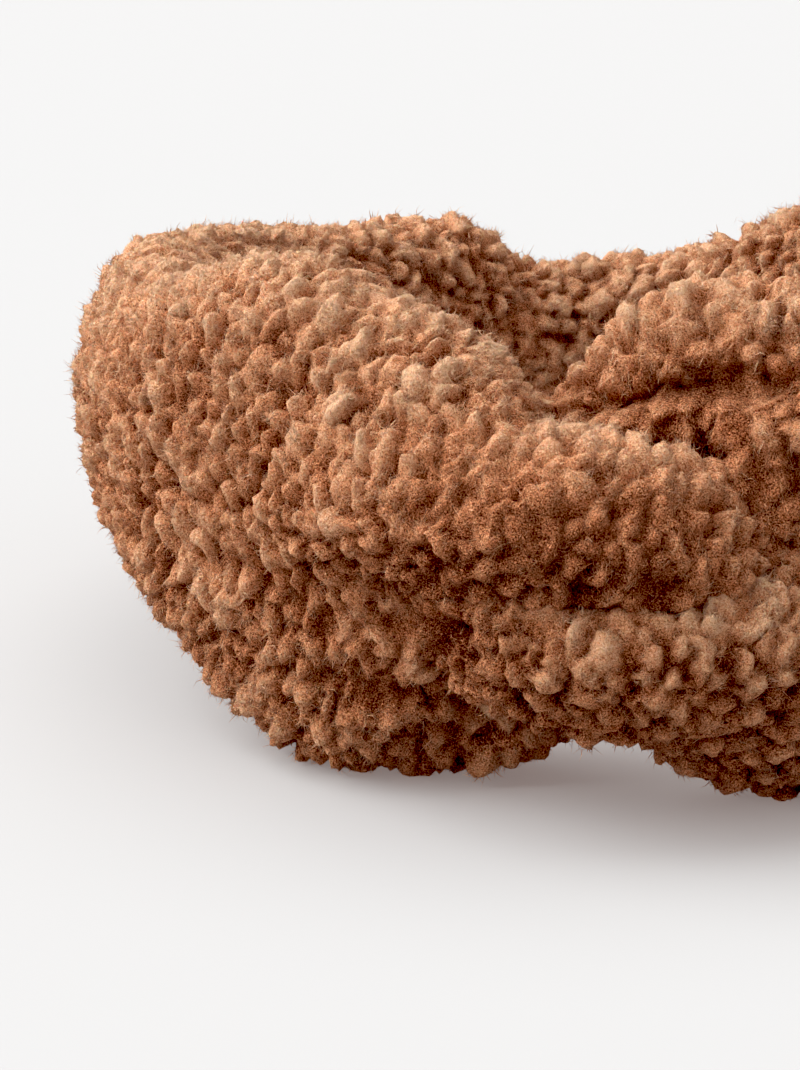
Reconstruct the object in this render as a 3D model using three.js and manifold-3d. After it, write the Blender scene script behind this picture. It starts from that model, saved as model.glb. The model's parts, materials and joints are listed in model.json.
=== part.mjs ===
// A faux shearling headband with a crossed front.
// It is two padded bands of one shape. At the front each band doubles back on itself through
// the other, so that the two hook together, and at the back their ends are sewn to each other.
// Millimetres, +Z up, front towards -Y. It rests on its lower edge, on the plane z = 0.
import * as THREE from 'three';
import { mergeVertices } from 'three/addons/utils/BufferGeometryUtils.js';
import Module from 'manifold-3d';

const wasm = await Module();
wasm.setup();

// Driving dimensions.
const RING_HALF_WIDTH = 73.5; // middle of the head opening to the middle of a band, sideways
const RING_HALF_DEPTH = 78; // the same, front to back
const GAP = 0.3; // left between the two bands wherever they press on each other
const KNOT_HEIGHT = 35.5; // middle of the crossing, above the floor
const SQUARENESS = 2.5; // 2 gives oval sections, more gives flatter sides

// How finely the bands are cut into facets.
const POINTS_AROUND = 22;
const SIDE_STEPS = 40;
const HOOK_STEPS = 36;
const FOLD_STEPS = 14;

// The side of a band, from the crossing round to the seam at the back. `round` is the angle
// from the front in degrees, `out` moves the band off the ring's oval, `low` is its lower edge
// above the floor, `leftTop` and `rightTop` are the upper edges of the two bands, `thick` is
// through the wall and `lean` tips its top outwards.
const SIDE = [
  { round: 15, out: 0, low: 10, leftTop: 60, rightTop: 60, thick: 20, lean: 0 },
  { round: 23, out: 0, low: 2, leftTop: 70, rightTop: 71, thick: 27, lean: 0 },
  { round: 34, out: 1, low: -1, leftTop: 75, rightTop: 77, thick: 31, lean: 2 },
  { round: 50, out: 1, low: 8, leftTop: 71, rightTop: 73, thick: 31, lean: 3 },
  { round: 68, out: 0, low: 17, leftTop: 63, rightTop: 66, thick: 28, lean: 4 },
  { round: 90, out: 0, low: 17, leftTop: 61.5, rightTop: 64, thick: 26, lean: 5 },
  { round: 110, out: 0, low: 12, leftTop: 60, rightTop: 62, thick: 26, lean: 5 },
  { round: 130, out: 0, low: 4, leftTop: 55.5, rightTop: 61, thick: 25, lean: 4 },
  { round: 148, out: 0, low: -1, leftTop: 54, rightTop: 62, thick: 24, lean: 2 },
  { round: 153, out: 0, low: -1, leftTop: 54, rightTop: 61.5, thick: 24, lean: 1.5 },
  { round: 158, out: 0, low: -1, leftTop: 47, rightTop: 59, thick: 24, lean: 1 },
  { round: 163, out: 0, low: -1, leftTop: 45, rightTop: 54.5, thick: 23.5, lean: 0.5 },
  { round: 168, out: 0, low: -1, leftTop: 45, rightTop: 52, thick: 23, lean: 0 },
  { round: 174, out: 0, low: -1, leftTop: 46, rightTop: 47.5, thick: 22.5, lean: 0 },
  { round: 180, out: 0, low: -1, leftTop: 44.5, rightTop: 44.5, thick: 22, lean: 0 },
];

// The hook at the front of the left band, as seen from the middle of the crossing: x to the
// right, y to the back, z up. It leaves the side in front and above, turns behind the other
// band and comes back below. `across` and `deep` are the sizes of its section.
const HOOK = [
  { x: -56, y: 22, z: 10, across: 34, deep: 18, tilt: 5 },
  { x: -40, y: 9, z: 17, across: 40, deep: 22, tilt: 20 },
  { x: -25, y: -2, z: 15.5, across: 38, deep: 23, tilt: 36 },
  { x: -12, y: -10, z: 10, across: 27, deep: 23, tilt: 42 },
  { x: 0, y: -12, z: 9.5, across: 24, deep: 23, tilt: 45 },
  { x: 10, y: -9.5, z: 6.5, across: 24, deep: 21, tilt: 45 },
  { x: 15, y: 0, z: 0, across: 24, deep: 22, tilt: 45 },
  { x: 10, y: 9, z: -7, across: 22, deep: 21, tilt: 45 },
  { x: 0, y: 12, z: -11.5, across: 23, deep: 22, tilt: 45 },
  { x: -7, y: 13, z: -16.5, across: 29, deep: 22, tilt: 40 },
  { x: -15, y: 13, z: -19.5, across: 32, deep: 22, tilt: 32 },
  { x: -27, y: 13, z: -19, across: 35, deep: 22, tilt: 20 },
  { x: -41, y: 15, z: -15, across: 33, deep: 20, tilt: 10 },
  { x: -56, y: 26, z: -6, across: 26, deep: 18, tilt: 5 },
];

// The fold along the front of a band's returning half, pressed in by a slim roll of the size
// given. Seen from the middle of the crossing, as the hook is, for the left band.
const FOLD = [
  { x: -6, y: -1, z: -21, size: 1 },
  { x: -16, y: -1.5, z: -22, size: 2.5 },
  { x: -28, y: -0.5, z: -22, size: 3 },
  { x: -39, y: 2.5, z: -21, size: 2.5 },
  { x: -48, y: 7, z: -19, size: 1 },
];
const LEFT_FOLD_SHIFT = 3; // how far up the fold is moved on the left band
const RIGHT_FOLD_SHIFT = -4; // the same on the right band, before its half turn

const BROWN = { color: 0xa56a44, roughness: 0.95, metalness: 0 };

// A table read between its rows along smooth curves. `at` gives each row's place from 0 to 1.
function smoothTable(rows, columns, at) {
  const values = rows.flatMap((row) => columns.map((column) => row[column]));
  const curve = new THREE.CubicInterpolant(rows.map(at), values, columns.length);
  return (place) => {
    const found = curve.evaluate(place);
    return Object.fromEntries(columns.map((column, i) => [column, found[i]]));
  };
}

// The closed outline of a section: a rounded oval between `a`, half of one size, and `b`.
function outline(a, b) {
  const power = 2 / SQUARENESS;
  return Array.from({ length: POINTS_AROUND }, (_, i) => {
    const turn = (2 * Math.PI * i) / POINTS_AROUND;
    const across = Math.sign(Math.cos(turn)) * Math.abs(Math.cos(turn)) ** power;
    const along = Math.sign(Math.sin(turn)) * Math.abs(Math.sin(turn)) ** power;
    return [a * across, b * along];
  });
}

// A closed solid through the stations, each with a middle, two unit directions and two sizes.
function loft(stations) {
  const places = [];
  for (const { middle, u, v, sizeU, sizeV } of stations) {
    for (const [a, b] of outline(sizeU / 2, sizeV / 2)) {
      places.push(middle.clone().addScaledVector(u, a).addScaledVector(v, b));
    }
  }
  const startMiddle = places.push(stations[0].middle) - 1;
  const endMiddle = places.push(stations[stations.length - 1].middle) - 1;
  const faces = [];
  const lastRing = (stations.length - 1) * POINTS_AROUND;
  for (let i = 0; i < POINTS_AROUND; i++) {
    const next = (i + 1) % POINTS_AROUND;
    for (let ring = 0; ring < lastRing; ring += POINTS_AROUND) {
      const beyond = ring + POINTS_AROUND;
      faces.push(ring + i, ring + next, beyond + next);
      faces.push(ring + i, beyond + next, beyond + i);
    }
    faces.push(startMiddle, next, i);
    faces.push(endMiddle, lastRing + i, lastRing + next);
  }
  return toManifold(places.flatMap((p) => p.toArray()), faces);
}

// A manifold of the triangles, turned the right way out.
function toManifold(coordinates, triangles) {
  const geometry = new THREE.BufferGeometry();
  geometry.setAttribute('position', new THREE.Float32BufferAttribute(coordinates, 3));
  geometry.setIndex(triangles);
  const merged = mergeVertices(geometry, 1e-4);
  const vertProperties = new Float32Array(merged.attributes.position.array);
  const triVerts = new Uint32Array(merged.index.array);
  if (signedVolume(vertProperties, triVerts) < 0) {
    for (let i = 0; i < triVerts.length; i += 3) {
      [triVerts[i], triVerts[i + 1]] = [triVerts[i + 1], triVerts[i]];
    }
  }
  return new wasm.Manifold(new wasm.Mesh({ numProp: 3, vertProperties, triVerts }));
}

function signedVolume(positions, triangles) {
  const [a, b, c] = [new THREE.Vector3(), new THREE.Vector3(), new THREE.Vector3()];
  let sum = 0;
  for (let i = 0; i < triangles.length; i += 3) {
    a.fromArray(positions, 3 * triangles[i]);
    b.fromArray(positions, 3 * triangles[i + 1]);
    c.fromArray(positions, 3 * triangles[i + 2]);
    sum += a.dot(b.cross(c));
  }
  return sum;
}

// A side as the left band has it, with the upper edge named, grown all over by `extra`.
function side(upperEdge, extra) {
  const columns = ['out', 'low', upperEdge, 'thick', 'lean'];
  const first = SIDE[0].round;
  const last = SIDE[SIDE.length - 1].round;
  const read = smoothTable(SIDE, columns, (row) => row.round);
  const stations = [];
  for (let i = 0; i <= SIDE_STEPS; i++) {
    const round = THREE.MathUtils.lerp(first, last, i / SIDE_STEPS);
    const { out, low, [upperEdge]: top, thick, lean } = read(round);
    const angle = THREE.MathUtils.degToRad(round);
    const ring = new THREE.Vector3(
      -RING_HALF_WIDTH * Math.sin(angle),
      -RING_HALF_DEPTH * Math.cos(angle),
      (low + top) / 2,
    );
    const along = new THREE.Vector3(
      -RING_HALF_WIDTH * Math.cos(angle),
      RING_HALF_DEPTH * Math.sin(angle),
      0,
    ).normalize();
    const outwards = new THREE.Vector3(-along.y, along.x, 0).multiplyScalar(-1);
    const tipped = THREE.MathUtils.degToRad(lean);
    const u = outwards.clone().applyAxisAngle(along, -tipped);
    const v = new THREE.Vector3(0, 0, 1).applyAxisAngle(along, -tipped);
    ring.addScaledVector(outwards, out);
    if (i === 0) ring.addScaledVector(along, -extra);
    if (i === SIDE_STEPS) ring.x = -GAP / 2;
    stations.push({ middle: ring, u, v, sizeU: thick + 2 * extra, sizeV: top - low + 2 * extra });
  }
  return loft(stations);
}

// The hook of the left band, grown all over by `extra`.
function hook(extra) {
  const path = new THREE.CatmullRomCurve3(
    HOOK.map((row) => new THREE.Vector3(row.x, row.y - RING_HALF_DEPTH, row.z + KNOT_HEIGHT)),
  );
  const read = smoothTable(HOOK, ['across', 'deep', 'tilt'], (_, i) => i / (HOOK.length - 1));
  const stations = [];
  for (let i = 0; i <= HOOK_STEPS; i++) {
    const place = i / HOOK_STEPS;
    const sizes = read(place);
    const along = path.getTangent(place);
    const tilt = THREE.MathUtils.degToRad(sizes.tilt);
    const across = new THREE.Vector3(0, Math.sin(tilt), Math.cos(tilt));
    const deep = along.clone().cross(across).normalize();
    const u = deep.clone().cross(along).normalize();
    stations.push({
      middle: path.getPoint(place),
      u,
      v: deep,
      sizeU: sizes.across + 2 * extra,
      sizeV: sizes.deep + 2 * extra,
    });
  }
  return loft(stations);
}

// A slim tapering roll along the fold, moved up by `shift`.
function foldRoll(shift) {
  const path = new THREE.CatmullRomCurve3(
    FOLD.map(
      (row) => new THREE.Vector3(row.x, row.y - RING_HALF_DEPTH, row.z + shift + KNOT_HEIGHT),
    ),
  );
  const read = smoothTable(FOLD, ['size'], (_, i) => i / (FOLD.length - 1));
  const stations = [];
  for (let i = 0; i <= FOLD_STEPS; i++) {
    const place = i / FOLD_STEPS;
    const { size } = read(place);
    const along = path.getTangent(place);
    const u = new THREE.Vector3(0, 0, 1).cross(along).normalize();
    const v = along.clone().cross(u);
    stations.push({ middle: path.getPoint(place), u, v, sizeU: 1.5 * size, sizeV: size });
  }
  return loft(stations);
}

// Half a turn about the line through the crossing, front to back.
function halfTurn(solid) {
  return solid
    .translate([0, 0, -KNOT_HEIGHT])
    .rotate([0, 180, 0])
    .translate([0, 0, KNOT_HEIGHT]);
}

function floorBlock() {
  const box = new THREE.BoxGeometry(400, 400, 100).translate(0, 0, -50);
  box.deleteAttribute('normal');
  box.deleteAttribute('uv');
  const merged = mergeVertices(box);
  return toManifold([...merged.attributes.position.array], [...merged.index.array]);
}

function toMesh(name, solid) {
  const { vertProperties, triVerts } = solid.getMesh();
  const geometry = new THREE.BufferGeometry();
  geometry.setAttribute('position', new THREE.BufferAttribute(vertProperties, 3));
  geometry.setIndex(new THREE.BufferAttribute(triVerts, 1));
  geometry.computeVertexNormals();
  const mesh = new THREE.Mesh(geometry, new THREE.MeshStandardMaterial(BROWN));
  mesh.name = name;
  return mesh;
}

const floor = floorBlock();
const leftFold = foldRoll(LEFT_FOLD_SHIFT);
const hooked = hook(0).subtract(leftFold);
const left = side('leftTop', 0).subtract(leftFold).add(hooked).subtract(floor);
const leftGrown = side('leftTop', GAP).add(hook(GAP));
const right = side('rightTop', 0)
  .mirror([1, 0, 0])
  .add(halfTurn(hook(0)))
  .subtract(halfTurn(foldRoll(RIGHT_FOLD_SHIFT)))
  .subtract(leftGrown)
  .subtract(floor);

const headband = new THREE.Group();
headband.add(toMesh('left_band', left));
headband.add(toMesh('right_band', right));

// The origin is on the floor, under the middle of the whole ring's box.
const boxMiddle = new THREE.Box3().setFromObject(headband).getCenter(new THREE.Vector3());
headband.position.set(-boxMiddle.x, -boxMiddle.y, 0);

export default headband;
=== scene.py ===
import json
import math
import random

import bmesh
import bpy
import numpy as np
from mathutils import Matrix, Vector, noise
from mathutils.bvhtree import BVHTree
from mathutils.kdtree import KDTree

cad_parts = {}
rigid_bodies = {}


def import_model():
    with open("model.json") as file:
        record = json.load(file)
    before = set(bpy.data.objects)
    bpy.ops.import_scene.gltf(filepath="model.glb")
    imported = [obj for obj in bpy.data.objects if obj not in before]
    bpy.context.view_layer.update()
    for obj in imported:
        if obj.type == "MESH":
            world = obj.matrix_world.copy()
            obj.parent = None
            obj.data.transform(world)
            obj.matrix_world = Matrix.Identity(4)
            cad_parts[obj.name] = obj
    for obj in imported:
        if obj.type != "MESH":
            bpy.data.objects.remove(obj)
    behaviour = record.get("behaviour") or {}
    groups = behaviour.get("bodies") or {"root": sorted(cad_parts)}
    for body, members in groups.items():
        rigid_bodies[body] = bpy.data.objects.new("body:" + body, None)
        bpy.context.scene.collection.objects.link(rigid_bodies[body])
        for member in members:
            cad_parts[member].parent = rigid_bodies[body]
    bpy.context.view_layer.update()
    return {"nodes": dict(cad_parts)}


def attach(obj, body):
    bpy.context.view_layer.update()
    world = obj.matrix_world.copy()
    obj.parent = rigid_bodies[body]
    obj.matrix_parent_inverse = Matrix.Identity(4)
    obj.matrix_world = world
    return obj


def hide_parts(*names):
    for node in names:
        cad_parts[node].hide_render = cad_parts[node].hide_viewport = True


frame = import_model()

bl_info = {
    "name": "Faux shearling headband",
    "version": (1, 0, 0),
    "blender": (4, 5, 0),
    "location": "3D View > Sidebar > Headband",
    "description": "Two hooked padded bands with a curly pile, and the stage they stand on",
    "category": "Object",
}

# The middle line of the left band, from the seam at the back round to the crossing and,
# after the turn behind the other band, back towards the side. Millimetres.
BAND_LINE = [
    {"x": 0, "y": 85, "z": 20},
    {"x": -18, "y": 82, "z": 22},
    {"x": -35, "y": 76, "z": 26},
    {"x": -56, "y": 57, "z": 30},
    {"x": -69, "y": 33, "z": 35},
    {"x": -74, "y": 7, "z": 38},
    {"x": -68, "y": -22, "z": 40},
    {"x": -56, "y": -43, "z": 43},
    {"x": -40, "y": -62, "z": 49},
    {"x": -25, "y": -73, "z": 50},
    {"x": -12, "y": -81, "z": 47},
    {"x": 0, "y": -83, "z": 46},
    {"x": 10, "y": -80, "z": 43},
    {"x": 15, "y": -71, "z": 35},
    {"x": 10, "y": -62, "z": 28},
    {"x": 0, "y": -59, "z": 24},
    {"x": -7, "y": -58, "z": 19},
    {"x": -15, "y": -58, "z": 16},
    {"x": -27, "y": -58, "z": 16},
    {"x": -41, "y": -56, "z": 18},
    {"x": -52, "y": -48, "z": 20},
]
KNOT_HEIGHT = 35.5  # middle of the crossing above the floor, millimetres
HOOK_START, HOOK_RUN = -30, 25  # Y at which the hooks begin, and over what length, millimetres
LINE_STEPS, LINE_ROUNDS = 8, 12  # points made for each one above, and rounds of smoothing

# The combing's swirls: how many per metre and how far they turn the pile.
SWIRLS_PER_METRE, SWIRL_TURN = 48, math.radians(44)
SWIRL_START = Vector((3, 5, 7))

# Folds, swellings and places of painted shade on the pile, each along a line of points. "deep" is
# how far it goes in (out, where negative) and "wide" its reach, in millimetres; the last number is
# the share of the height on the tuft taken away there, which only darkens the colour as painted
# shade and leaves fewer fibres, and does not change the tufts' shape.
CREASES = [
    {  # the fold under the roll on the right band
        "line": [(-1, -68, 58), (5, -70.6, 60), (9, -71, 61.5), (15, -71, 62), (29, -72, 63)],
        "deep": 3.8, "wide": 2.2, "thin_and_painted_shade": 0.80,
    },
    {  # the front of that roll
        "line": [(6, -68, 63.5), (14, -69, 65.5), (27, -70, 66), (38, -71, 66.5)],
        "deep": 1.5, "wide": 4.2, "thin_and_painted_shade": 0.70,
    },
    {  # the top of that roll
        "line": [(6, -61, 68), (14, -60, 71), (26, -60, 72), (42, -62, 73)],
        "deep": -4.0, "wide": 6.5, "thin_and_painted_shade": 0,
    },
    {  # the full part below that fold
        "line": [(4, -70, 54), (12, -70, 55), (18, -70.5, 56), (30, -73, 56)],
        "deep": -3.0, "wide": 4.0, "thin_and_painted_shade": 0.2,
    },
    {  # the right band beside the crossing: painted shade and fewer fibres only
        "line": [(14, -72, 51), (24, -77, 49), (30, -78, 44)],
        "deep": 0, "wide": 9, "thin_and_painted_shade": 0.45,
    },
    {  # the front of the crossing, under the ridge: painted shade and fewer fibres only
        "line": [(-16, -90, 49), (-4, -94, 47), (9, -91, 46)],
        "deep": 0, "wide": 10, "thin_and_painted_shade": 0.80,
    },
    {  # the top of the left side
        "line": [(-78, 12, 61), (-76, -4, 61), (-72, -20, 61.5)],
        "deep": -2.0, "wide": 9, "thin_and_painted_shade": 0,
    },
    {  # the inner edge of the left back
        "line": [(-56, 47, 54), (-47, 58, 52)],
        "deep": 1.2, "wide": 8, "thin_and_painted_shade": 0,
    },
    {  # the fold low on the left band
        "line": [(-38, -74, 17.5), (-30, -76, 16.7), (-23, -76, 16.2)],
        "deep": 3.0, "wide": 2.2, "thin_and_painted_shade": 0.8,
    },
    # Folds low and high on the front of the crossing, with painted shade in them; the middle one
    # is painted shade and fewer fibres only.
    {"line": [(-20, -86, 27), (-17, -88, 29)], "deep": 5.0, "wide": 3.2, "thin_and_painted_shade": 1.0},
    {"line": [(-26, -84, 26), (-12, -90, 31)], "deep": 0, "wide": 7, "thin_and_painted_shade": 0.6},
    {"line": [(-6, -95, 46), (0, -94.5, 49), (9, -91.5, 49.7)], "deep": 1.8, "wide": 1.4,
     "thin_and_painted_shade": 0.6},
]

# The mesh that the tufts are raised from: cell sizes in metres, each with its rounds of smoothing.
COARSE_CELL, COARSE_ROUNDS, FINE_ROUNDS = 0.0016, 3, 2

# Tufts. Sizes, lengths, widths and standing heights are shares of the ones set for the pile.
TUFT_SIZES = (0.70, 1.36)
TUFT_LENGTHS = (0.85, 1.15)
TUFT_WIDTHS = (0.88, 1.12)
TUFT_HEIGHTS = (0.6, 1.0)
MOST_TURN = 1.2  # radians that any tuft turns from the way it is combed
TUFT_CURL = 110  # most that a tuft bows sideways, per metre of its length squared
TUFT_ROUNDNESS = 0.58  # 0.5 is a half ball, more is more pointed
TUFT_RISE = 0.30  # how much higher a tuft is at its tip than at its root
TUFTS_NEARBY = 9
TALLEST = 1.3  # the most that any place rises, as a share of the pile's depth
MELT = 0.05  # how softly one tuft runs into the next
GAP_DEPTH, GAP_WIDTH = 0.32, 0.24  # the gap pressed in where two tufts are as high

# The ragged edges of the tufts: how far apart and how far they are stirred, in millimetres.
LARGE_STIR = {"size": 3.2, "reach": 1.7}
SMALL_STIR = {"size": 1.3, "reach": 0.75}

# Crumbs of curls on a tuft: how many per metre, and their height on it and beside it.
CRUMBS_PER_METRE, CRUMBS_ON, CRUMBS_BESIDE = 760, 0.25, 0.05

# Where the two bands touch, in millimetres: how far from the other band the pile starts, over
# what distance it comes to its full height, how far it swells there to fill the gap and within
# what reach, and the least height of its tufts, as a share of the pile's depth, and its reach.
TOUCH_CLEAR, TOUCH_GROWING = 0.2, 0.5
TOUCH_SWELL, TOUCH_SWELL_REACH = 2.4, 5
TOUCH_HEIGHT, TOUCH_HEIGHT_REACH = 0.45, 2
TOUCH_LIFT = 0.3  # how far the bare pile lies over the solid at the touching place

# The padded cores: how far they lie under the gaps between tufts (millimetres), and the cell
# sizes of their meshes (metres) with the rounds of smoothing.
CORE_INSET = 4
CORE_CELLS = [{"cell": 0.0022, "rounds": 6}, {"cell": 0.0026, "rounds": 5}]

FLOOR_CLEARANCE = 0.0001  # metres that the pile keeps above the floor

# What moves a place on the pile along the run of colours from its roots (0) to its tips (1), with
# the value past which it moves it up and its weight: the height on the tuft, which paints shade
# into the gaps and creases; the place along a fibre, which paints shade at its root; each fibre's
# own tone;
# how far a face looks up, which paints light on top and shade underneath; each tuft's own shade
# and the fine fibres.
COLOUR_START = 0.18
COLOUR_MOVES = [
    # the height on the tuft: painted shade in the gaps and creases
    {"by": "rise", "past": 0, "weight": 0.66},
    # the place along a fibre: painted shade at its root, deep in the pile
    {"by": "tip", "past": 0, "weight": 0.34},
    {"by": "tone", "past": 0, "weight": 0.48},
    # painted light on faces that look up, painted shade on those that look down
    {"by": "upward", "past": 0.20, "weight": 0.24},
    {"by": "shade", "past": 0.5, "weight": 0.16},
    {"by": "fibres", "past": 0.5, "weight": 1.05},
]
ROOT_PLACE, MIDDLE_PLACE = 0.02, 0.50  # where the root's and the middle's colours lie on that run

WISP_KINDS = 8
WISP_FIBRES = 9
WISP_TONES = (-0.3, -0.1, 0.05, 0.25, 0.8)
STRAY_KINDS = 12
STRAY_STEPS, STRAY_STEP = 8, 0.00075  # pieces of a stray and the length of one, metres

# The stage: large soft lights seen from the headband, with the way to each, its strength in watts
# per square metre and how wide it looks, in degrees.
SOFTBOXES = [
    {"name": "Overhead softbox", "way": (-0.10, 0.30, 1), "power": 1.8, "wide": 60},
    {"name": "Left softbox", "way": (-1.0, -0.10, 0.80), "power": 5.6, "wide": 60},
    {"name": "Front softbox", "way": (0.75, -1.0, 0.70), "power": 0.4, "wide": 70},
]
WALLS = {"low": 0.66, "high": 0.80}  # brightness of the studio's walls and ceiling
FLOOR_HALF, FLOOR_LEVEL = 6.0, -0.0003  # metres
FLOOR_GLOW = {"colour": (1, 0.82, 0.75, 1), "strength": 0.22}  # the floor's own glow, painted light that lifts and warms its shadows
DEEPEST_TONE = (0.025, 0.025, 0.018)  # light that the picture shows as black

# The camera: its lens and film (millimetres), its turn round the headband and its height over the
# floor (degrees), the place it is turned about, how far off it stands, and how far to the right
# and up of that place it aims (metres).
CAMERA = {
    "lens": 135.6, "film": 36, "turn": 4, "rise": 16,
    "about": (0, 0.0068, 0.020), "away": 0.650, "aim": (-0.0366, -0.0037),
}

# Each band's pile is kept in three pieces, from front to back.
PILE_ZONES = [
    {"zone": "front", "start": -0.200, "end": -0.047},
    {"zone": "side", "start": -0.047, "end": 0.034},
    {"zone": "back", "start": 0.034, "end": 0.200},
]


def mm(value):
    return value / 1000


class HeadbandPile(bpy.types.PropertyGroup):
    """Sizes of the pile and of the backing under it."""

    tuft_length: bpy.props.FloatProperty(
        name="Tuft length",
        description="From a tuft's root to its tip",
        default=0.0064, min=0.002, unit="LENGTH",
    )
    tuft_width: bpy.props.FloatProperty(
        name="Tuft width",
        description="Across a tuft's widest place",
        default=0.0037, min=0.001, unit="LENGTH",
    )
    tuft_spacing: bpy.props.FloatProperty(
        name="Tuft spacing",
        description="Least distance between the roots of two tufts",
        default=0.0031, min=0.001, unit="LENGTH",
    )
    grain: bpy.props.FloatProperty(
        name="Grain",
        description="Size of the mesh's cells on the melted tufts",
        default=0.0008, min=0.0005, unit="LENGTH",
    )
    fibre_length: bpy.props.FloatProperty(
        name="Fibre length",
        description="How long the fine fibres are that stand out from the tufts",
        default=0.0014, min=0.0002, unit="LENGTH",
    )
    fibre_width: bpy.props.FloatProperty(
        name="Fibre width",
        description="Across a fibre at its root",
        default=0.00011, min=0.00002, unit="LENGTH",
    )
    wisp_cover: bpy.props.FloatProperty(
        name="Wisps",
        description="Wisps of fibres on each square metre of the tufts' tops",
        default=370000, min=0,
    )
    stray_cover: bpy.props.FloatProperty(
        name="Strays",
        description="Long loose fibres on each square metre",
        default=2600, min=0,
    )
    turn: bpy.props.FloatProperty(
        name="Turn",
        description="How far two tufts in three turn at most from the way they are combed",
        default=math.radians(20.4), subtype="ANGLE", unit="ROTATION",
    )
    depth: bpy.props.FloatProperty(
        name="Pile depth",
        description="From the backing to the tops of the highest tufts",
        default=0.0037, min=0.001, unit="LENGTH",
    )
    sink: bpy.props.FloatProperty(
        name="Sink",
        description="How far the gaps between tufts lie below the band's outer form",
        default=0.0022, min=0, unit="LENGTH",
    )
    lean: bpy.props.FloatProperty(
        name="Lean",
        description="How far a tuft's top lies over, as a share of its height",
        default=0.30, min=0, max=2,
    )
    seed: bpy.props.IntProperty(
        name="Seed",
        description="Fixes everything that is random in the pile",
        default=7,
    )


class HeadbandColours(bpy.types.PropertyGroup):
    """Colours of the pile, from its roots to its tips."""

    # The root colour is also the painted shade in the gaps between tufts and in the creases.
    root: bpy.props.FloatVectorProperty(
        name="Root",
        description="Colour deep in the pile",
        default=(0.090, 0.022, 0.007), size=3, min=0, max=1, subtype="COLOR",
    )
    middle: bpy.props.FloatVectorProperty(
        name="Middle",
        description="Colour of the body of a tuft",
        default=(0.76, 0.300, 0.135), size=3, min=0, max=1, subtype="COLOR",
    )
    tip: bpy.props.FloatVectorProperty(
        name="Tip",
        description="Colour of the ends of the fibres",
        default=(1.0, 0.61, 0.37), size=3, min=0, max=1, subtype="COLOR",
    )
    backing: bpy.props.FloatVectorProperty(
        name="Backing",
        description="Colour of the knitted backing between the tufts",
        default=(0.16, 0.030, 0.009), size=3, min=0, max=1, subtype="COLOR",
    )
    floor: bpy.props.FloatVectorProperty(
        name="Floor",
        description="Colour of the studio floor",
        default=(0.280, 0.294, 0.299), size=3, min=0, max=1, subtype="COLOR",
    )


def add_object(name, data):
    made = bpy.data.objects.new(name, data)
    bpy.context.scene.collection.objects.link(made)
    return made


def as_plain_mesh(source, name):
    """A new object with what the source's modifiers make of it. The source is removed."""
    graph = bpy.context.evaluated_depsgraph_get()
    mesh = bpy.data.meshes.new_from_object(source.evaluated_get(graph), depsgraph=graph)
    mesh.name = name
    bpy.data.objects.remove(source)
    return add_object(name, mesh)


# ---------------------------------------------------------------- the bands' forms


def merged_copy(node):
    """The band's solid with its loose triangles joined up."""
    mesh = bmesh.new()
    mesh.from_mesh(frame["nodes"][node].data)
    bmesh.ops.remove_doubles(mesh, verts=mesh.verts, dist=1e-6)
    data = bpy.data.meshes.new(node + "_form")
    mesh.to_mesh(data)
    mesh.free()
    return add_object(data.name, data)


def even_out(form, voxel, smoothing=0, grow=0.0):
    """Adds an even mesh, a little smoothing and growth along the normals to a form."""
    even = form.modifiers.new("Even mesh", "REMESH")
    even.mode = "VOXEL"
    even.voxel_size = voxel
    if smoothing:
        soften = form.modifiers.new("Soften", "SMOOTH")
        soften.factor = 0.5
        soften.iterations = smoothing
    if grow:
        swell = form.modifiers.new("Grow", "DISPLACE")
        swell.mid_level = 0
        swell.strength = grow


def core_form(node, inset):
    """A band's padded core: its solid drawn in by `inset` and smoothed."""
    form = merged_copy(node)
    first, last = CORE_CELLS
    even_out(form, first["cell"], smoothing=first["rounds"], grow=-inset)
    even_out(form, last["cell"], smoothing=last["rounds"])
    return as_plain_mesh(form, node + "_core")


def solid_tree(node):
    """For finding the nearest place on a band's solid."""
    solid = merged_copy(node)
    found = BVHTree.FromObject(solid, bpy.context.evaluated_depsgraph_get())
    bpy.data.objects.remove(solid)
    return found


def band_line(node):
    """The middle line of a band as closely spaced points in metres. The right band's hook is
    the left one's after half a turn about the line through the crossing, and its side is the
    mirror image."""
    rows = []
    for row in BAND_LINE:
        x, y, z = row["x"], row["y"], row["z"]
        if node == "right_band":
            hooked = min(max((HOOK_START - y) / HOOK_RUN, 0), 1)
            x, z = -x, z + hooked * 2 * (KNOT_HEIGHT - z)
        rows.append((mm(x), mm(y), mm(z)))
    rows = np.array(rows)
    fine = np.linspace(0, len(rows) - 1, LINE_STEPS * len(rows))
    line = np.stack([np.interp(fine, np.arange(len(rows)), rows[:, k]) for k in range(3)], axis=1)
    for _ in range(LINE_ROUNDS):
        line[1:-1] = 0.5 * line[1:-1] + 0.25 * (line[:-2] + line[2:])
    return line


def unit(vectors):
    return vectors / np.maximum(np.linalg.norm(vectors, axis=1, keepdims=True), 1e-12)


def combing(points, normals, line, mirrored):
    """The way the pile lies at each point: round the band, down its outer side, swirling."""
    middles, runs = 0.5 * (line[1:] + line[:-1]), unit(line[1:] - line[:-1])
    nearest = np.zeros(len(points), dtype=int)
    best = np.full(len(points), np.inf)
    for k, middle in enumerate(middles):
        away = np.sum((points - middle) ** 2, axis=1)
        closer = away < best
        nearest[closer], best[closer] = k, away[closer]
    turned = np.cross(points - middles[nearest], runs[nearest]) * (-1 if mirrored else 1)
    flat = unit(turned - np.sum(turned * normals, axis=1, keepdims=True) * normals)
    across = np.cross(normals, flat)
    swirl = [noise.noise(SWIRLS_PER_METRE * Vector(point) + SWIRL_START) for point in points]
    swirl = SWIRL_TURN * np.array(swirl)[:, None]
    return flat * np.cos(swirl) + across * np.sin(swirl)


# ---------------------------------------------------------------- tufts


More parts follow.
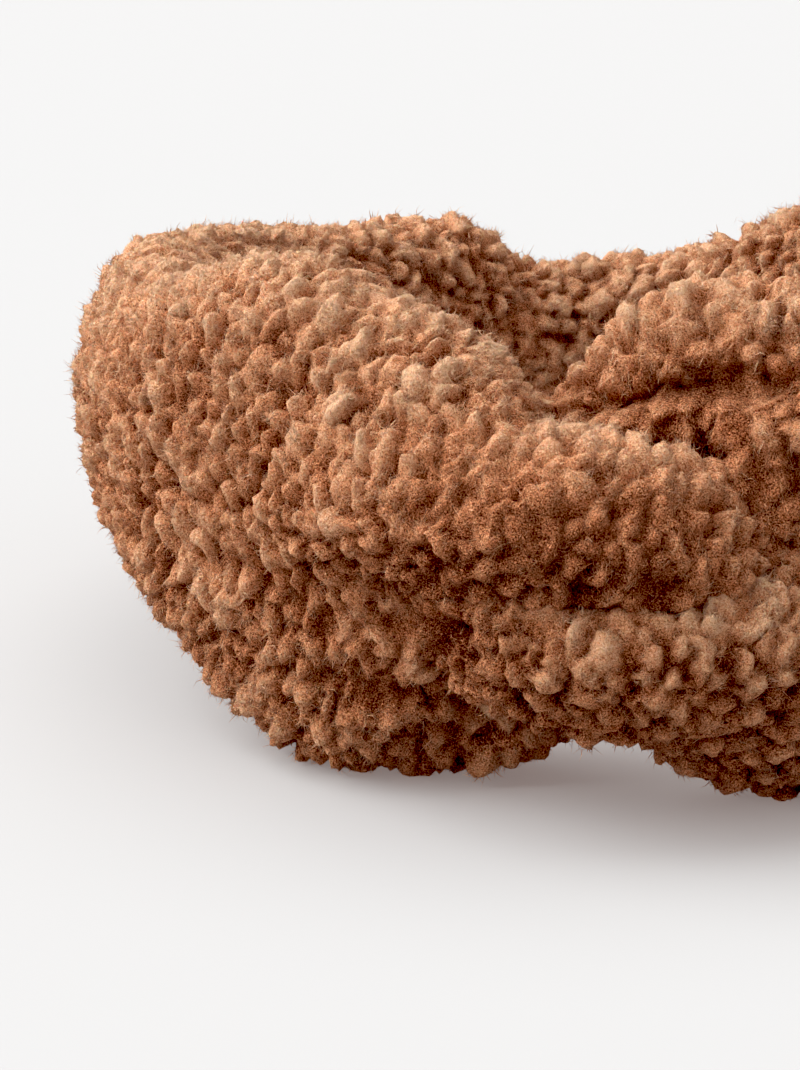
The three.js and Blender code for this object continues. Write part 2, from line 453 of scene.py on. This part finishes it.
def scatter_seeds(points, spacing, dice):
    """Picks points in random order, each at least `spacing` from those picked before it."""
    taken, picked = {}, []
    cells = np.floor(points / spacing).astype(int)
    for index in dice.permutation(len(points)):
        a, b, c = cells[index]
        near = [
            other
            for i in (a - 1, a, a + 1) for j in (b - 1, b, b + 1) for k in (c - 1, c, c + 1)
            for other in taken.get((i, j, k), ())
        ]
        if near and np.min(np.sum((points[near] - points[index]) ** 2, axis=1)) < spacing ** 2:
            continue
        taken.setdefault((a, b, c), []).append(index)
        picked.append(index)
    return np.array(picked)


def stirred(points, stir, seed):
    """The points moved about at random, those within the stir's size of each other much alike."""
    noise.seed_set(seed + 1)  # without it the vector noise starts from the clock
    offset = Vector((seed, 2 * seed, 3 * seed))
    size = mm(stir["size"])
    return points + mm(stir["reach"]) * np.array(
        [noise.noise_vector(Vector(point) / size + offset) for point in points]
    )


def tuft_field(points, normals, combed, pile, seed):
    """Height of the curly tufts above their roots at each point, as a share of the pile's
    depth, with the lean of the tuft that is on top there and its own shade."""
    dice = np.random.default_rng(seed)
    seeds = scatter_seeds(points, pile.tuft_spacing, dice)
    count = len(seeds)
    turn = np.clip(dice.normal(0, pile.turn, count), -MOST_TURN, MOST_TURN)[:, None]
    along = combed[seeds] * np.cos(turn) + np.cross(normals[seeds], combed[seeds]) * np.sin(turn)
    across = np.cross(normals[seeds], along)
    size = dice.uniform(*TUFT_SIZES, count)
    half_length = 0.5 * pile.tuft_length * size * dice.uniform(*TUFT_LENGTHS, count)
    half_width = 0.5 * pile.tuft_width * size * dice.uniform(*TUFT_WIDTHS, count)
    stands = dice.uniform(*TUFT_HEIGHTS, count)
    curl = dice.uniform(-TUFT_CURL, TUFT_CURL, count)
    shades = dice.uniform(0, 1, count)

    tree = KDTree(count)
    for k, index in enumerate(seeds):
        tree.insert(points[index], k)
    tree.balance()
    places = stirred(stirred(points, LARGE_STIR, seed), SMALL_STIR, seed + 3)
    near = np.array([[found[1] for found in tree.find_n(place, TUFTS_NEARBY)] for place in places])
    gap = places[:, None, :] - points[seeds][near]
    ahead = np.sum(gap * along[near], axis=2)
    aside = np.sum(gap * across[near], axis=2) - curl[near] * ahead ** 2
    ahead, aside = ahead / half_length[near], aside / half_width[near]
    dome = np.clip(1 - (ahead ** 2 + aside ** 2), 0, 1) ** TUFT_ROUNDNESS
    heights = stands[near] * dome * (1 + TUFT_RISE * np.clip(ahead, -1, 1))
    height = MELT * np.log(np.sum(np.exp(heights / MELT), axis=1) / TUFTS_NEARBY)
    owner = near[np.arange(len(points)), np.argmax(heights, axis=1)]
    ranked = np.sort(heights, axis=1)
    height -= GAP_DEPTH * np.exp(-((ranked[:, -1] - ranked[:, -2]) / GAP_WIDTH) ** 2)
    height = np.clip(height + MELT * math.log(TUFTS_NEARBY / 2), 0, TALLEST)
    return height, along[owner], shades[owner]


def creasing(points, crease):
    """How strongly a crease acts at each point: 1 on its line, less the further away."""
    line = np.array(crease["line"]) / 1000
    nearest = np.full(len(points), np.inf)
    for start, end in zip(line, line[1:]):
        run = end - start
        share = np.clip((points - start) @ run / (run @ run), 0, 1)
        away = np.linalg.norm(points - start - share[:, None] * run, axis=1)
        nearest = np.minimum(nearest, away)
    return np.exp(-(nearest / mm(crease["wide"])) ** 2)[:, None]


def softened(points, mesh, times):
    """The mesh's points drawn halfway towards the middle of their neighbours."""
    ends = np.empty(2 * len(mesh.edges), dtype=np.int32)
    mesh.edges.foreach_get("vertices", ends)
    first, second = ends[0::2], ends[1::2]
    shared = np.maximum(np.bincount(ends, minlength=len(points)), 1)[:, None]
    for _ in range(times):
        total = np.stack([
            np.bincount(first, points[second, k], len(points))
            + np.bincount(second, points[first, k], len(points))
            for k in range(3)
        ], axis=1)
        points = 0.5 * points + 0.5 * total / shared
    return points


def lumpy_band(node, other, pile):
    """The whole band with its tufts raised from an even mesh."""
    form = merged_copy(node)
    even_out(form, COARSE_CELL, smoothing=COARSE_ROUNDS)
    even_out(form, pile.grain, smoothing=FINE_ROUNDS)
    form = as_plain_mesh(form, node + "_tufts")
    mesh = form.data
    points, normals = np.empty(3 * len(mesh.vertices)), np.empty(3 * len(mesh.vertices))
    mesh.vertices.foreach_get("co", points)
    mesh.vertex_normals.foreach_get("vector", normals)
    points, normals = points.reshape(-1, 3), normals.reshape(-1, 3)
    combed = combing(points, normals, band_line(node), node == "right_band")
    height, leans, shades = tuft_field(
        points, normals, combed, pile, pile.seed + (node == "right_band")
    )
    beside = solid_tree(other)
    away = np.array([beside.find_nearest(point)[3] for point in points])
    free = np.clip((away - mm(TOUCH_CLEAR)) / mm(TOUCH_GROWING), 0, 1)[:, None]
    pressed = mm(TOUCH_SWELL) * np.exp(-away / mm(TOUCH_SWELL_REACH))[:, None]
    crumbs = np.array([noise.noise(CRUMBS_PER_METRE * Vector(point)) for point in points])
    height = np.clip(height * (1 + CRUMBS_ON * crumbs) + CRUMBS_BESIDE * crumbs, 0, TALLEST)
    height = np.maximum(height, TOUCH_HEIGHT * np.exp(-away / mm(TOUCH_HEIGHT_REACH)))
    lift = pile.depth * height[:, None] - pile.sink
    moved = points + normals * (free * (lift + pressed) + (1 - free) * mm(TOUCH_LIFT))
    moved += leans * free * pile.lean * pile.depth * height[:, None]
    # Each crease presses the form in or out, and lowers the height on the tuft that the colour is
    # read from: painted shade there, with fewer fibres.
    for crease in CREASES:
        acts = creasing(points, crease)
        moved -= normals * acts * mm(crease["deep"])
        height *= 1 - crease["thin_and_painted_shade"] * acts[:, 0]
    moved = softened(moved, mesh, 1)
    moved[:, 2] = np.maximum(moved[:, 2], FLOOR_CLEARANCE)
    mesh.vertices.foreach_set("co", moved.ravel())
    # Kept for the colour: the height on the tuft, which paints shade into the gaps and creases,
    # each tuft's own shade, and how far the face looks up, which paints light on top and shade
    # underneath.
    kept = (("rise", height), ("shade", shades), ("open", free[:, 0]), ("upward", normals[:, 2]))
    for name, values in kept:
        mesh.attributes.new(name, "FLOAT", "POINT").data.foreach_set("value", values.ravel())
    mesh.attributes.new("combed", "FLOAT_VECTOR", "POINT").data.foreach_set(
        "vector", combed.ravel()
    )
    mesh.update()
    return form


def cut_zone(form, zone):
    """The part of a form between two upright planes across the headband, closed."""
    mesh = bmesh.new()
    mesh.from_mesh(form.data)
    for level, outward in ((zone["start"], -1), (zone["end"], 1)):
        bmesh.ops.bisect_plane(
            mesh, geom=mesh.verts[:] + mesh.edges[:] + mesh.faces[:],
            plane_co=(0, level, 0), plane_no=(0, outward, 0), clear_outer=True,
        )
        rim = [edge for edge in mesh.edges if edge.is_boundary]
        caps = bmesh.ops.holes_fill(mesh, edges=rim)["faces"]
        bmesh.ops.triangulate(mesh, faces=caps)
    data = bpy.data.meshes.new(form.name + "_" + zone["zone"])
    mesh.to_mesh(data)
    mesh.free()
    return add_object(data.name, data)


# ---------------------------------------------------------------- fibres


def make_stray(kind, pile, collection):
    """A long loose fibre that wanders just above the tufts."""
    dice = random.Random(2000 * pile.seed + kind)
    place, heading = Vector((0, 0, -0.0006)), Vector((1, 0, dice.uniform(0.7, 1.3))).normalized()
    bend = Vector((dice.uniform(-1, 1), dice.uniform(-1, 1), -0.6))
    points, faces = [], []
    for step in range(STRAY_STEPS + 1):
        flat = heading.cross(Vector((0.2, 0.1, 1))).normalized()
        half = 0.4 * pile.fibre_width * (1 - 0.08 * step)
        points += [place - flat * half, place + flat * half]
        place = place + STRAY_STEP * heading
        stirring = Vector([dice.uniform(-1, 1) for _ in range(3)])
        heading = (heading + 0.35 * bend + 0.30 * stirring).normalized()
    for step in range(STRAY_STEPS):
        faces.append((2 * step, 2 * step + 1, 2 * step + 3, 2 * step + 2))
    mesh = bpy.data.meshes.new(f"stray_{kind:02d}")
    mesh.from_pydata(points, [], faces)
    count = len(points)
    mesh.attributes.new("tip", "FLOAT", "POINT").data.foreach_set("value", [0.9] * count)
    mesh.attributes.new("tone", "FLOAT", "POINT").data.foreach_set("value", [0.4] * count)
    collection.objects.link(bpy.data.objects.new(mesh.name, mesh))


def make_wisp(kind, pile, collection):
    """A few fine fibres that lean over along X, some of them bent."""
    dice = random.Random(1000 * pile.seed + kind)
    points, tips, tones, faces = [], [], [], []
    for _ in range(WISP_FIBRES):
        reach = pile.fibre_length * dice.uniform(0.5, 1.5)
        turn, lift = math.radians(dice.gauss(0, 60)), math.radians(dice.uniform(5, 65))
        heading = Vector((
            math.cos(lift) * math.cos(turn), math.cos(lift) * math.sin(turn), math.sin(lift)
        ))
        place = Vector((dice.uniform(-0.9, 0.9), dice.uniform(-0.9, 0.9), -0.20)) * 0.001
        roll = math.radians(dice.uniform(-50, 50))
        flat = heading.cross(Vector((0, 0, 1))).normalized()
        flat = flat * math.cos(roll) + heading.cross(flat) * math.sin(roll)
        half = 0.5 * pile.fibre_width * dice.uniform(0.7, 1.3)
        tone = dice.choice(WISP_TONES)
        points += [place - flat * half, place + flat * half]
        first = len(points) - 2
        if dice.random() < 0.50:
            place = place + 0.5 * reach * heading
            aside = Vector([dice.uniform(-1, 1) for _ in range(3)]) + Vector((0.4, 0, -0.5))
            heading = (heading + 0.9 * aside).normalized()
            points += [place - flat * 0.7 * half, place + flat * 0.7 * half]
            points.append(place + 0.6 * reach * heading)
            tips += [0.0, 0.0, 0.5, 0.5, 1.0]
            tones += [tone] * 5
            faces += [(first, first + 1, first + 3, first + 2), (first + 2, first + 3, first + 4)]
        else:
            points.append(place + reach * heading)
            tips += [0.0, 0.0, 1.0]
            tones += [tone] * 3
            faces.append((first, first + 1, first + 2))
    mesh = bpy.data.meshes.new(f"wisp_{kind:02d}")
    mesh.from_pydata(points, [], faces)
    # The tip value darkens each fibre towards its root: painted shade deep in the pile.
    mesh.attributes.new("tip", "FLOAT", "POINT").data.foreach_set("value", tips)
    mesh.attributes.new("tone", "FLOAT", "POINT").data.foreach_set("value", tones)
    collection.objects.link(bpy.data.objects.new(mesh.name, mesh))


# ---------------------------------------------------------------- the pile's node trees


class TreeMaker:
    """A Geometry Nodes tree while it is being put together."""

    def __init__(self, name):
        self.tree = bpy.data.node_groups.new(name, "GeometryNodeTree")
        self.link = self.tree.links.new

    def socket(self, name, default=None, kind="NodeSocketFloat", in_out="INPUT"):
        made = self.tree.interface.new_socket(name, in_out=in_out, socket_type=kind)
        if default is not None:
            made.default_value = default

    def node(self, kind, **settings):
        made = self.tree.nodes.new(kind)
        for key, value in settings.items():
            setattr(made, key, value)
        return made

    def feed(self, socket, value):
        if isinstance(value, bpy.types.NodeSocket):
            self.link(value, socket)
        else:
            socket.default_value = value

    def maths(self, operation, *values):
        made = self.node("ShaderNodeMath", operation=operation)
        for socket, value in zip(made.inputs, values):
            self.feed(socket, value)
        return made.outputs[0]

    def ramp(self, value, start, end, low=0.0, high=1.0):
        made = self.node("ShaderNodeMapRange", interpolation_type="SMOOTHSTEP")
        ends = {"From Min": start, "From Max": end, "To Min": low, "To Max": high}
        for name, number in ends.items():
            made.inputs[name].default_value = number
        self.link(value, made.inputs["Value"])
        return made.outputs[0]

    def dice(self, low, high, seed):
        made = self.node("FunctionNodeRandomValue", data_type="FLOAT")
        self.feed(made.inputs[2], low)
        self.feed(made.inputs[3], high)
        made.inputs["Seed"].default_value = seed
        return made.outputs[1]

    def pick(self, count, seed):
        made = self.node("FunctionNodeRandomValue", data_type="INT")
        made.inputs[4].default_value = 0
        made.inputs[5].default_value = count - 1
        made.inputs["Seed"].default_value = seed
        return made.outputs[2]

    def named(self, name, kind="FLOAT"):
        made = self.node("GeometryNodeInputNamedAttribute", data_type=kind)
        made.inputs["Name"].default_value = name
        return made.outputs["Attribute"]

    def parts(self, vector):
        made = self.node("ShaderNodeSeparateXYZ")
        self.link(vector, made.inputs[0])
        return made.outputs

    def vector(self, x, y, z):
        made = self.node("ShaderNodeCombineXYZ")
        for socket, value in zip(made.inputs, (x, y, z)):
            self.feed(socket, value)
        return made.outputs[0]

    def lay(self, normal, along):
        """A rotation with Z along the normal and X turned towards `along`."""
        stand = self.node("FunctionNodeAlignRotationToVector", axis="Z")
        self.link(normal, stand.inputs["Vector"])
        lie = self.node("FunctionNodeAlignRotationToVector", axis="X", pivot_axis="Z")
        self.link(stand.outputs[0], lie.inputs["Rotation"])
        self.link(along, lie.inputs["Vector"])
        return lie.outputs[0]

    def instances(self, points, collection, which, rotation, scale):
        source = self.node("GeometryNodeCollectionInfo")
        source.inputs["Collection"].default_value = collection
        source.inputs["Separate Children"].default_value = True
        source.inputs["Reset Children"].default_value = True
        made = self.node("GeometryNodeInstanceOnPoints")
        self.link(points, made.inputs["Points"])
        self.link(source.outputs[0], made.inputs["Instance"])
        made.inputs["Pick Instance"].default_value = True
        self.link(which, made.inputs["Instance Index"])
        self.link(rotation, made.inputs["Rotation"])
        self.link(scale, made.inputs["Scale"])
        realise = self.node("GeometryNodeRealizeInstances")
        self.link(made.outputs[0], realise.inputs[0])
        return realise.outputs[0]

    def join(self, *geometries):
        made = self.node("GeometryNodeJoinGeometry")
        for geometry in geometries:
            self.link(geometry, made.inputs[0])
        return made.outputs[0]

    def finish(self, geometry, material):
        """Keeps everything above the surface that the headband lies on, and dresses it."""
        place = self.parts(self.node("GeometryNodeInputPosition").outputs[0])
        height = self.maths("MAXIMUM", place["Z"], FLOOR_CLEARANCE)
        above = self.vector(place["X"], place["Y"], height)
        flatten = self.node("GeometryNodeSetPosition")
        self.link(geometry, flatten.inputs["Geometry"])
        self.link(above, flatten.inputs["Position"])
        dress = self.node("GeometryNodeSetMaterial")
        dress.inputs["Material"].default_value = material
        self.link(flatten.outputs[0], dress.inputs["Geometry"])
        self.socket("Pile", kind="NodeSocketGeometry", in_out="OUTPUT")
        self.link(dress.outputs[0], self.node("NodeGroupOutput").inputs["Pile"])
        return self.tree


def build_fibre_tree(wisps, strays, material, pile):
    """Covers the tufts with wisps of fine fibres, most of all on their tops."""
    maker = TreeMaker("Fine fibre coat")
    maker.socket("Tufts", kind="NodeSocketGeometry")
    maker.socket("Wisp cover", pile.wisp_cover)
    maker.socket("Stray cover", pile.stray_cover)
    maker.socket("Smallest", 0.75)
    maker.socket("Largest", 1.25)
    maker.socket("Seed", pile.seed, "NodeSocketInt")
    start = maker.node("NodeGroupInput").outputs
    smooth = maker.node("GeometryNodeSetShadeSmooth")
    maker.link(start["Tufts"], smooth.inputs["Geometry"])

    # Few fibres in the gaps, none where the bands touch, and fewer on the underside.
    tops = maker.ramp(maker.named("rise"), 0.0, 0.5, 0.25, 1.0)
    normal = maker.node("GeometryNodeInputNormal").outputs[0]
    under = maker.ramp(maker.parts(normal)["Z"], -0.85, -0.45, 0.4, 1.0)
    density = maker.maths("MULTIPLY", maker.maths("MULTIPLY", tops, under), start["Wisp cover"])
    density = maker.maths("MULTIPLY", density, maker.ramp(maker.named("open"), 0.0, 0.2))
    spread = maker.node("GeometryNodeDistributePointsOnFaces", distribute_method="RANDOM")
    spread.use_legacy_normal = False
    maker.link(smooth.outputs[0], spread.inputs["Mesh"])
    maker.link(density, spread.inputs["Density"])
    maker.link(start["Seed"], spread.inputs["Seed"])
    fibres = maker.instances(
        spread.outputs["Points"], wisps, maker.pick(WISP_KINDS, 17),
        maker.lay(spread.outputs["Normal"], maker.named("combed", "FLOAT_VECTOR")),
        maker.dice(start["Smallest"], start["Largest"], 19),
    )
    loose = maker.node("GeometryNodeDistributePointsOnFaces", distribute_method="RANDOM")
    loose.use_legacy_normal = False
    maker.link(smooth.outputs[0], loose.inputs["Mesh"])
    free = maker.ramp(maker.named("open"), 0.6, 1.0)
    sparse = maker.maths("MULTIPLY", start["Stray cover"], free)
    maker.link(maker.maths("MULTIPLY", sparse, under), loose.inputs["Density"])
    maker.link(start["Seed"], loose.inputs["Seed"])
    long = maker.instances(
        loose.outputs["Points"], strays, maker.pick(STRAY_KINDS, 23),
        maker.lay(loose.outputs["Normal"], maker.named("combed", "FLOAT_VECTOR")),
        maker.dice(start["Smallest"], start["Largest"], 29),
    )
    return maker.finish(maker.join(smooth.outputs[0], fibres, long), material)


def set_input(modifier, name, value):
    for item in modifier.node_group.interface.items_tree:
        if item.item_type == "SOCKET" and item.in_out == "INPUT" and item.name == name:
            modifier[item.identifier] = value
            return
    raise ValueError(f"the pile has no input named {name}")


def grow_pile(name, form, tree, zone, pile):
    """One zone of a band's pile as a plain mesh."""
    source = cut_zone(form, zone)
    coat = source.modifiers.new("Fine fibre coat", "NODES")
    coat.node_group = tree
    set_input(coat, "Seed", pile.seed)
    grown = as_plain_mesh(source, f"{name}_pile_{zone['zone']}")
    for spare in ("combed", "open", "id"):
        if spare in grown.data.attributes:
            grown.data.attributes.remove(grown.data.attributes[spare])
    return grown


# ---------------------------------------------------------------- materials


def fibre_group():
    """Fine curled fibres seen as a pattern: a mask from gaps to bright fibres."""
    if "Fine fibres" in bpy.data.node_groups:
        return bpy.data.node_groups["Fine fibres"]
    group = bpy.data.node_groups.new("Fine fibres", "ShaderNodeTree")
    face = group.interface
    face.new_socket("Vector", in_out="INPUT", socket_type="NodeSocketVector")
    face.new_socket("Scale", in_out="INPUT", socket_type="NodeSocketFloat").default_value = 3
    face.new_socket("Curl", in_out="INPUT", socket_type="NodeSocketFloat").default_value = 1.5
    face.new_socket("Fibres", in_out="OUTPUT", socket_type="NodeSocketFloat")
    nodes, link = group.nodes, group.links.new
    start, end = nodes.new("NodeGroupInput"), nodes.new("NodeGroupOutput")
    fine = nodes.new("ShaderNodeTexNoise")
    fine.inputs["Detail"].default_value = 2
    fine.inputs["Roughness"].default_value = 0.8
    link(start.outputs["Vector"], fine.inputs["Vector"])
    link(start.outputs["Scale"], fine.inputs["Scale"])
    link(start.outputs["Curl"], fine.inputs["Distortion"])
    spread = nodes.new("ShaderNodeMapRange")
    spread.inputs["From Min"].default_value = 0.30
    spread.inputs["From Max"].default_value = 0.70
    link(fine.outputs[0], spread.inputs["Value"])
    link(spread.outputs[0], end.inputs["Fibres"])
    return group


def pile_material(colours):
    """Matt curly pile with fine light and dark fibres, its colour darker with painted shade in the
    gaps, creases, fibre roots and on faces turned down, and lighter with painted light on faces
    turned up.
    """
    material = bpy.data.materials.new("Shearling pile")
    material.use_nodes = True
    nodes, link = material.node_tree.nodes, material.node_tree.links.new
    shader = nodes["Principled BSDF"]

    def attribute(name):
        made = nodes.new("ShaderNodeAttribute")
        made.attribute_name = name
        return made.outputs["Fac"]

    def maths(operation, first, second):
        made = nodes.new("ShaderNodeMath")
        made.operation = operation
        for socket, value in zip(made.inputs, (first, second)):
            if isinstance(value, (int, float)):
                socket.default_value = value
            else:
                link(value, socket)
        return made.outputs[0]

    def pattern(scale, curl):
        made = nodes.new("ShaderNodeGroup")
        made.node_tree = fibre_group()
        made.inputs["Scale"].default_value = scale
        made.inputs["Curl"].default_value = curl
        link(where.outputs["Object"], made.inputs["Vector"])
        return made.outputs["Fibres"]

    where = nodes.new("ShaderNodeTexCoord")
    fibres, curls = pattern(4000, 0.5), pattern(1700, 1.2)

    # Painted shade in the gaps, creases and fibre roots and on faces turned down, and painted
    # light on faces turned up, move the place on the run of colours.
    place = COLOUR_START
    for move in COLOUR_MOVES:
        source = fibres if move["by"] == "fibres" else attribute(move["by"])
        past = maths("SUBTRACT", source, move["past"])
        place = maths("ADD", maths("MULTIPLY", past, move["weight"]), place)
    ramp = nodes.new("ShaderNodeValToRGB")
    stops = ramp.color_ramp.elements
    stops[0].position, stops[0].color = ROOT_PLACE, (*colours.root, 1)
    stops[1].position, stops[1].color = 1.0, (*colours.tip, 1)
    middle = stops.new(MIDDLE_PLACE)
    middle.color = (*colours.middle, 1)
    link(place, ramp.inputs[0])
    link(ramp.outputs[0], shader.inputs["Base Color"])
    shader.inputs["Roughness"].default_value = 0.92
    shader.inputs["Specular IOR Level"].default_value = 0.08
    shader.inputs["Subsurface Weight"].default_value = 0.20
    shader.inputs["Subsurface Radius"].default_value = (1.0, 0.40, 0.20)
    shader.inputs["Subsurface Scale"].default_value = 0.0008
    shader.inputs["Sheen Weight"].default_value = 0.10
    shader.inputs["Sheen Roughness"].default_value = 0.6
    shader.inputs["Sheen Tint"].default_value = (1.0, 0.62, 0.42, 1)
    coarse, bump = nodes.new("ShaderNodeBump"), nodes.new("ShaderNodeBump")
    coarse.inputs["Strength"].default_value = 0.8
    coarse.inputs["Distance"].default_value = 0.00045
    link(curls, coarse.inputs["Height"])
    bump.inputs["Strength"].default_value = 1.0
    bump.inputs["Distance"].default_value = 0.00055
    link(fibres, bump.inputs["Height"])
    link(coarse.outputs[0], bump.inputs["Normal"])
    link(bump.outputs[0], shader.inputs["Normal"])
    return material


def backing_material(colours):
    """The dark knitted backing that the tufts grow from."""
    material = bpy.data.materials.new("Knitted backing")
    material.use_nodes = True
    nodes, link = material.node_tree.nodes, material.node_tree.links.new
    shader = nodes["Principled BSDF"]
    where = nodes.new("ShaderNodeTexCoord")
    fine = nodes.new("ShaderNodeGroup")
    fine.node_tree = fibre_group()
    fine.inputs["Scale"].default_value = 1100
    fine.inputs["Curl"].default_value = 0.6
    link(where.outputs["Object"], fine.inputs["Vector"])
    mix = nodes.new("ShaderNodeMix")
    mix.data_type = "RGBA"
    mix.inputs[6].default_value = (*[0.55 * part for part in colours.backing], 1)
    mix.inputs[7].default_value = (*colours.backing, 1)
    link(fine.outputs["Fibres"], mix.inputs[0])
    link(mix.outputs[2], shader.inputs["Base Color"])
    shader.inputs["Roughness"].default_value = 1
    shader.inputs["Specular IOR Level"].default_value = 0.1
    return material


def floor_material(colours):
    material = bpy.data.materials.new("Studio floor")
    material.use_nodes = True
    shader = material.node_tree.nodes["Principled BSDF"]
    shader.inputs["Base Color"].default_value = (*colours.floor, 1)
    # The floor glows a little: painted light in its shadows.
    shader.inputs["Emission Color"].default_value = FLOOR_GLOW["colour"]
    shader.inputs["Emission Strength"].default_value = FLOOR_GLOW["strength"]
    shader.inputs["Roughness"].default_value = 0.9
    shader.inputs["Specular IOR Level"].default_value = 0.1
    return material


# ---------------------------------------------------------------- operators


class HEADBAND_OT_backing(bpy.types.Operator):
    """Makes the padded core of both bands, inside the pile"""

    bl_idname = "headband.backing"
    bl_label = "Padded cores"

    def execute(self, context):
        pile, colours = context.scene.headband_pile, context.scene.headband_colours
        material = backing_material(colours)
        for node in ("left_band", "right_band"):
            core = core_form(node, pile.sink + mm(CORE_INSET))
            core.name = core.data.name = node.replace("_band", "_core")
            core.data.materials.append(material)
            core.data.shade_smooth()
            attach(core, "root")
            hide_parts(node)
        return {"FINISHED"}


class HEADBAND_OT_pile(bpy.types.Operator):
    """Covers both bands with combed curly tufts"""

    bl_idname = "headband.pile"
    bl_label = "Curly pile"

    def execute(self, context):
        pile, colours = context.scene.headband_pile, context.scene.headband_colours
        wisps, strays = bpy.data.collections.new("Wisps"), bpy.data.collections.new("Strays")
        for kind in range(WISP_KINDS):
            make_wisp(kind, pile, wisps)
        for kind in range(STRAY_KINDS):
            make_stray(kind, pile, strays)
        tree = build_fibre_tree(wisps, strays, pile_material(colours), pile)
        for node, other in (("left_band", "right_band"), ("right_band", "left_band")):
            form = lumpy_band(node, other, pile)
            for zone in PILE_ZONES:
                grown = grow_pile(node.replace("_band", ""), form, tree, zone, pile)
                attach(grown, "root")
                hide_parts(node)
            bpy.data.objects.remove(form)
        for source in (wisps, strays):
            for made in list(source.objects):
                bpy.data.objects.remove(made)
            bpy.data.collections.remove(source)
        return {"FINISHED"}


def studio_world():
    """The white walls of the studio, brighter overhead."""
    world = bpy.data.worlds.new("Studio")
    world.use_nodes = True
    nodes, link = world.node_tree.nodes, world.node_tree.links.new
    where, split = nodes.new("ShaderNodeTexCoord"), nodes.new("ShaderNodeSeparateXYZ")
    link(where.outputs["Generated"], split.inputs[0])
    spread = nodes.new("ShaderNodeMapRange")
    spread.interpolation_type = "SMOOTHSTEP"
    spread.inputs["From Min"].default_value = -0.2
    spread.inputs["From Max"].default_value = 1.0
    spread.inputs["To Min"].default_value = WALLS["low"]
    spread.inputs["To Max"].default_value = WALLS["high"]
    link(split.outputs["Z"], spread.inputs["Value"])
    link(spread.outputs[0], nodes["Background"].inputs["Strength"])
    nodes["Background"].inputs["Color"].default_value = (1, 1, 1, 1)
    return world


def softbox(box):
    """One of the large soft lights."""
    lamp = bpy.data.lights.new(box["name"], "SUN")
    lamp.energy = box["power"]
    lamp.angle = math.radians(box["wide"])
    lit = add_object(box["name"], lamp)
    lit.rotation_euler = Vector(box["way"]).to_track_quat("Z", "Y").to_euler()


def studio_camera():
    """The camera, aimed past the headband's middle."""
    camera = add_object("Camera", bpy.data.cameras.new("Camera"))
    camera.data.lens = CAMERA["lens"]
    camera.data.sensor_width = CAMERA["film"]
    camera.data.clip_start = 0.05
    turn, rise = math.radians(CAMERA["turn"]), math.radians(CAMERA["rise"])
    back = Vector((
        math.sin(turn) * math.cos(rise), -math.cos(turn) * math.cos(rise), math.sin(rise)
    ))
    right = Vector((math.cos(turn), math.sin(turn), 0))
    up = back.cross(right)
    middle = Vector(CAMERA["about"])
    camera.location = middle + CAMERA["away"] * back
    aim = middle + CAMERA["aim"][0] * right + CAMERA["aim"][1] * up
    camera.rotation_euler = (camera.location - aim).to_track_quat("Z", "Y").to_euler()
    return camera


class HEADBAND_OT_stage(bpy.types.Operator):
    """Sets up the floor, the soft lights and the camera"""

    bl_idname = "headband.stage"
    bl_label = "Stage"

    def execute(self, context):
        scene = context.scene
        mesh = bpy.data.meshes.new("studio_floor")
        corners = [(-1, -1), (1, -1), (1, 1), (-1, 1)]
        mesh.from_pydata(
            [(FLOOR_HALF * x, FLOOR_HALF * y, FLOOR_LEVEL) for x, y in corners],
            [], [(0, 1, 2, 3)],
        )
        mesh.materials.append(floor_material(scene.headband_colours))
        floor = add_object("studio_floor", mesh)

        scene.world = studio_world()
        for box in SOFTBOXES:
            softbox(box)

        scene.camera = studio_camera()
        scene.view_settings.view_transform = "Standard"
        scene.view_settings.use_curve_mapping = True
        tones = scene.view_settings.curve_mapping
        tones.black_level = DEEPEST_TONE
        tones.update()
        return {"FINISHED"}


class HEADBAND_PT_panel(bpy.types.Panel):
    """Lists the headband's parts and their sizes"""

    bl_idname = "HEADBAND_PT_panel"
    bl_label = "Faux shearling headband"
    bl_space_type = "VIEW_3D"
    bl_region_type = "UI"
    bl_category = "Headband"

    def draw(self, context):
        layout = self.layout
        for group in (context.scene.headband_pile, context.scene.headband_colours):
            for name in group.bl_rna.properties.keys():
                if name not in ("rna_type", "name"):
                    layout.prop(group, name)
        for operator in (HEADBAND_OT_backing, HEADBAND_OT_pile, HEADBAND_OT_stage):
            layout.operator(operator.bl_idname)


CLASSES = (
    HeadbandPile,
    HeadbandColours,
    HEADBAND_OT_backing,
    HEADBAND_OT_pile,
    HEADBAND_OT_stage,
    HEADBAND_PT_panel,
)


def register():
    for made in CLASSES:
        bpy.utils.register_class(made)
    bpy.types.Scene.headband_pile = bpy.props.PointerProperty(type=HeadbandPile)
    bpy.types.Scene.headband_colours = bpy.props.PointerProperty(type=HeadbandColours)


def unregister():
    del bpy.types.Scene.headband_colours
    del bpy.types.Scene.headband_pile
    for made in reversed(CLASSES):
        bpy.utils.unregister_class(made)


def main():
    register()
    bpy.ops.headband.stage()
    bpy.ops.headband.backing()
    bpy.ops.headband.pile()


if __name__ == "__main__":
    main()
